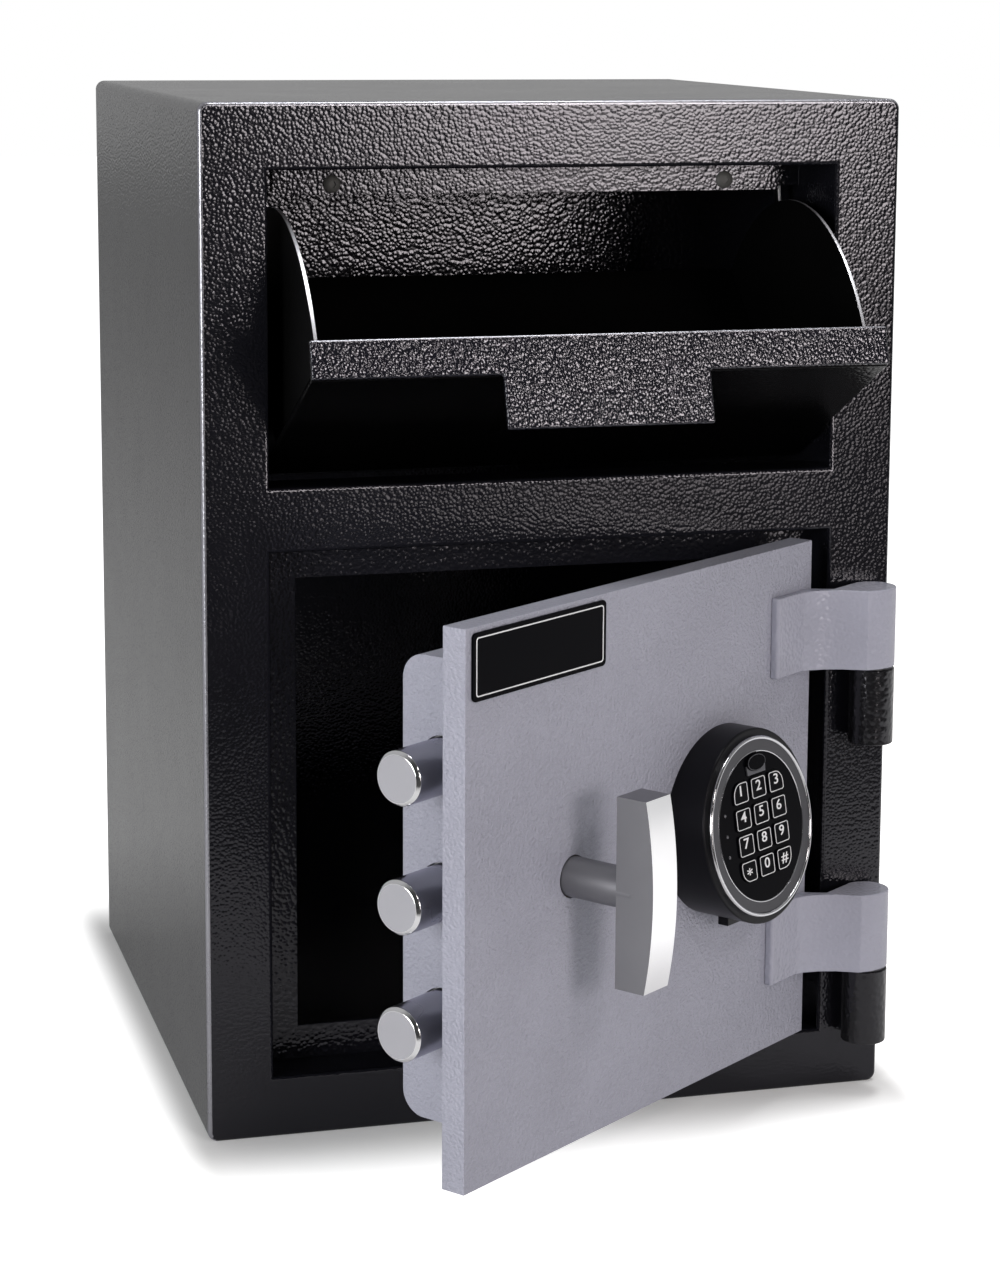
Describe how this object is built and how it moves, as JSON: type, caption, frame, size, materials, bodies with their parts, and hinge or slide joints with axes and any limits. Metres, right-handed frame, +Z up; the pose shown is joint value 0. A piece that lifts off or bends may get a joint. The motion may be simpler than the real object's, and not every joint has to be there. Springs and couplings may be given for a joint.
{
  "type": "deposit safe",
  "caption": "Steel deposit safe with a tilting drop hopper above and a keypad-locked door below, door ajar and hopper open.",
  "frame": {"origin": "centre of the base, at floor level", "axes": "+X to the viewer's right when facing the door, +Y from the front to the back, +Z up"},
  "size_m": [0.3556, 0.5342, 0.5143],
  "materials": {
    "hammertone_paint": "hammered gloss enamel",
    "hopper_paint": "gloss enamel",
    "door_paint": "fine-textured satin powder coat",
    "machined_steel": "satin",
    "satin_steel": "satin",
    "hard_steel": "matt, hardened",
    "bolt_chrome": "bright turned",
    "handle_chrome": "bright front, satin sides",
    "trim_chrome": "bright",
    "dark_screws": "black oxide",
    "bearing_bronze": "satin",
    "lock_brass": "satin",
    "cast_lock": "as cast",
    "nameplate_black": "gloss",
    "housing_plastic": "satin",
    "bezel_grey": "satin",
    "face_gloss": "gloss",
    "key_rubber": "satin",
    "board_green": "solder-mask gloss",
    "cable_rubber": "matt",
    "battery_case": "printed metal jacket"
  },
  "bodies": {
    "cabinet": {"cabinet_shell": "hammertone_paint", "back_plate": "hammertone_paint", "front_frame": "hammertone_paint", "door_stop_frame": "hammertone_paint", "hopper_chute": "hammertone_paint", "deposit_baffle": "hammertone_paint", "hopper_stop_bar": "hopper_paint", "stop_bar_screws": "dark_screws", "hopper_bushes": "bearing_bronze", "hinge_knuckles": "hopper_paint", "hinge_pins": "machined_steel", "hinge_washers": "bearing_bronze"},
    "hopper": {"hopper_panel": "hopper_paint", "hopper_lip": "hopper_paint", "hopper_side_left": "hopper_paint", "hopper_side_right": "hopper_paint", "hopper_tray": "hopper_paint", "hopper_pivot_pins": "machined_steel"},
    "door": {"door_plate": "door_paint", "upper_hinge_strap": "door_paint", "lower_hinge_strap": "door_paint", "boltwork_cover": "door_paint", "cover_posts": "machined_steel", "cover_screws": "machined_steel", "nameplate": "nameplate_black", "hard_plate": "hard_steel", "lock_case": "cast_lock", "lock_screws": "machined_steel", "bolt_guide": "machined_steel", "handle_bush": "bearing_bronze", "keypad_housing": "housing_plastic", "keypad_trim_ring": "trim_chrome", "keypad_bezel": "bezel_grey", "keypad_face": "face_gloss", "circuit_board": "board_green", "lock_cable": "cable_rubber"},
    "handle": {"handle_shaft": "satin_steel", "handle_grip": "handle_chrome", "drive_cam": "machined_steel"},
    "boltwork": {"bolt_bar": "machined_steel", "bar_arm": "machined_steel", "top_bolt": "bolt_chrome", "middle_bolt": "bolt_chrome", "bottom_bolt": "bolt_chrome", "bolt_screws": "dark_screws"},
    "lock_bolt": {"lock_bolt": "lock_brass"},
    "battery_drawer": {"battery_tray": "housing_plastic", "battery": "battery_case"},
    "button_1": {"key_1": "key_rubber"},
    "button_2": {"key_2": "key_rubber"},
    "button_3": {"key_3": "key_rubber"},
    "button_4": {"key_4": "key_rubber"},
    "button_5": {"key_5": "key_rubber"},
    "button_6": {"key_6": "key_rubber"},
    "button_7": {"key_7": "key_rubber"},
    "button_8": {"key_8": "key_rubber"},
    "button_9": {"key_9": "key_rubber"},
    "button_star": {"key_star": "key_rubber"},
    "button_0": {"key_0": "key_rubber"},
    "button_hash": {"key_hash": "key_rubber"}
  },
  "joints": [
    {"name": "door_hinge", "type": "hinge", "parent": "cabinet", "child": "door", "pos_m": [0.1648, -0.1903, 0.16], "axis": [0, 0, 1], "range_deg": [-37, 143]},
    {"name": "hopper_tilt", "type": "hinge", "parent": "cabinet", "child": "hopper", "pos_m": [0, -0.1438, 0.345], "axis": [1, 0, 0], "range_deg": [-66.2, 0]},
    {"name": "handle_turn", "type": "hinge", "parent": "door", "child": "handle", "pos_m": [-0.02867, -0.30792, 0.1638], "axis": [-0.6018, 0.7986, 0], "range_deg": [0, 90]},
    {"name": "bolts_slide", "type": "slide", "parent": "door", "child": "boltwork", "axis": [0.7986, 0.6018, 0], "range_m": [0, 0.0235]},
    {"name": "lock_bolt_slide", "type": "slide", "parent": "door", "child": "lock_bolt", "axis": [0, 0, 1], "range_m": [-0.009, 0]},
    {"name": "battery_slide", "type": "slide", "parent": "door", "child": "battery_drawer", "axis": [0, 0, -1], "range_m": [0, 0.05]},
    {"name": "button_1_press", "type": "slide", "parent": "door", "child": "button_1", "axis": [-0.5944, 0.7888, -0.1564], "range_m": [0, 0.0007], "stiffness_N_per_m": 1500},
    {"name": "button_2_press", "type": "slide", "parent": "door", "child": "button_2", "axis": [-0.5944, 0.7888, -0.1564], "range_m": [0, 0.0007], "stiffness_N_per_m": 1500},
    {"name": "button_3_press", "type": "slide", "parent": "door", "child": "button_3", "axis": [-0.5944, 0.7888, -0.1564], "range_m": [0, 0.0007], "stiffness_N_per_m": 1500},
    {"name": "button_4_press", "type": "slide", "parent": "door", "child": "button_4", "axis": [-0.5944, 0.7888, -0.1564], "range_m": [0, 0.0007], "stiffness_N_per_m": 1500},
    {"name": "button_5_press", "type": "slide", "parent": "door", "child": "button_5", "axis": [-0.5944, 0.7888, -0.1564], "range_m": [0, 0.0007], "stiffness_N_per_m": 1500},
    {"name": "button_6_press", "type": "slide", "parent": "door", "child": "button_6", "axis": [-0.5944, 0.7888, -0.1564], "range_m": [0, 0.0007], "stiffness_N_per_m": 1500},
    {"name": "button_7_press", "type": "slide", "parent": "door", "child": "button_7", "axis": [-0.5944, 0.7888, -0.1564], "range_m": [0, 0.0007], "stiffness_N_per_m": 1500},
    {"name": "button_8_press", "type": "slide", "parent": "door", "child": "button_8", "axis": [-0.5944, 0.7888, -0.1564], "range_m": [0, 0.0007], "stiffness_N_per_m": 1500},
    {"name": "button_9_press", "type": "slide", "parent": "door", "child": "button_9", "axis": [-0.5944, 0.7888, -0.1564], "range_m": [0, 0.0007], "stiffness_N_per_m": 1500},
    {"name": "button_star_press", "type": "slide", "parent": "door", "child": "button_star", "axis": [-0.5944, 0.7888, -0.1564], "range_m": [0, 0.0007], "stiffness_N_per_m": 1500},
    {"name": "button_0_press", "type": "slide", "parent": "door", "child": "button_0", "axis": [-0.5944, 0.7888, -0.1564], "range_m": [0, 0.0007], "stiffness_N_per_m": 1500},
    {"name": "button_hash_press", "type": "slide", "parent": "door", "child": "button_hash", "axis": [-0.5944, 0.7888, -0.1564], "range_m": [0, 0.0007], "stiffness_N_per_m": 1500}
  ],
  "couplings": [
    {"joint": "bolts_slide", "follows": "handle_turn", "m_per_rad": 0.014961}
  ]
}
